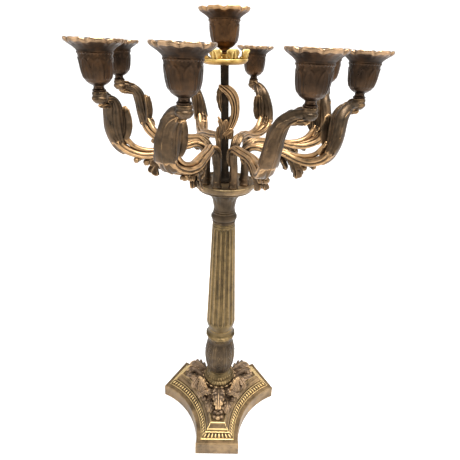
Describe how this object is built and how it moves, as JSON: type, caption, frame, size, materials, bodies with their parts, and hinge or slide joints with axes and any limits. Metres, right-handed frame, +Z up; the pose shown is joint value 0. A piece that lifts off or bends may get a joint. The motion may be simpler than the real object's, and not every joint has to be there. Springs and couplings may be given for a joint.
{
  "type": "tabletop candelabra",
  "caption": "Tall cast-metal candelabra: three-footed moulded base, fluted column, and leafy curved arms round a raised centre candle cup.",
  "frame": {"origin": "middle of the base, on the surface that it stands on", "axes": "+Z up along the column; the front foot points along -Y and +X is to the viewer's right"},
  "size_m": [0.3355, 0.3418, 0.62],
  "materials": {
    "base_brass": "aged gold-brown patina with bright worn edges",
    "column_brass": "olive-brown patina with brighter fillets",
    "arm_brass": "brown patina with polished worn scrolls",
    "cup_brass": "dark brown patina with coppery wear on the rim",
    "pan_brass": "bright yellow worn brass",
    "steel": "dull zinc"
  },
  "bodies": {
    "stand": {"base_plinth": "base_brass", "foliate_mount": "base_brass", "socket_ring": "base_brass", "baluster": "column_brass", "lower_collar": "column_brass", "column_shaft": "column_brass", "upper_collar": "column_brass", "capital": "column_brass", "hub_plate": "arm_brass", "tie_rod": "steel", "base_washer": "steel", "base_nut": "steel", "centre_stem": "arm_brass", "centre_drip_pan": "pan_brass", "centre_cup_stud": "steel", "centre_cup": "cup_brass"},
    "arm_assembly_front": {"arm_front": "arm_brass", "arm_screw_front": "steel", "cup_front": "cup_brass", "cup_stud_front": "steel"},
    "arm_assembly_front_right": {"arm_front_right": "arm_brass", "arm_screw_front_right": "steel", "cup_front_right": "cup_brass", "cup_stud_front_right": "steel"},
    "arm_assembly_right": {"arm_right": "arm_brass", "arm_screw_right": "steel", "cup_right": "cup_brass", "cup_stud_right": "steel"},
    "arm_assembly_back_right": {"arm_back_right": "arm_brass", "arm_screw_back_right": "steel", "cup_back_right": "cup_brass", "cup_stud_back_right": "steel"},
    "arm_assembly_back": {"arm_back": "arm_brass", "arm_screw_back": "steel", "cup_back": "cup_brass", "cup_stud_back": "steel"},
    "arm_assembly_back_left": {"arm_back_left": "arm_brass", "arm_screw_back_left": "steel", "cup_back_left": "cup_brass", "cup_stud_back_left": "steel"},
    "arm_assembly_left": {"arm_left": "arm_brass", "arm_screw_left": "steel", "cup_left": "cup_brass", "cup_stud_left": "steel"},
    "arm_assembly_front_left": {"arm_front_left": "arm_brass", "arm_screw_front_left": "steel", "cup_front_left": "cup_brass", "cup_stud_front_left": "steel"}
  },
  "joints": [
    {"name": "swing_front", "type": "hinge", "parent": "stand", "child": "arm_assembly_front", "pos_m": [-0.01033, -0.02494, 0.4215], "axis": [0, 0, 1], "range_deg": [-12.4, 7.6]},
    {"name": "swing_front_right", "type": "hinge", "parent": "stand", "child": "arm_assembly_front_right", "pos_m": [0.01033, -0.02494, 0.4215], "axis": [0, 0, 1], "range_deg": [-10, 10]},
    {"name": "swing_right", "type": "hinge", "parent": "stand", "child": "arm_assembly_right", "pos_m": [0.02494, -0.01033, 0.4215], "axis": [0, 0, 1], "range_deg": [-7.6, 12.4]},
    {"name": "swing_back_right", "type": "hinge", "parent": "stand", "child": "arm_assembly_back_right", "pos_m": [0.02494, 0.01033, 0.4215], "axis": [0, 0, 1], "range_deg": [-8.8, 11.2]},
    {"name": "swing_back", "type": "hinge", "parent": "stand", "child": "arm_assembly_back", "pos_m": [0.01033, 0.02494, 0.4215], "axis": [0, 0, 1], "range_deg": [-11.2, 8.8]},
    {"name": "swing_back_left", "type": "hinge", "parent": "stand", "child": "arm_assembly_back_left", "pos_m": [-0.01033, 0.02494, 0.4215], "axis": [0, 0, 1], "range_deg": [-10, 10]},
    {"name": "swing_left", "type": "hinge", "parent": "stand", "child": "arm_assembly_left", "pos_m": [-0.02494, 0.01033, 0.4215], "axis": [0, 0, 1], "range_deg": [-5.1, 14.9]},
    {"name": "swing_front_left", "type": "hinge", "parent": "stand", "child": "arm_assembly_front_left", "pos_m": [-0.02494, -0.01033, 0.4215], "axis": [0, 0, 1], "range_deg": [-13.7, 6.3]}
  ]
}
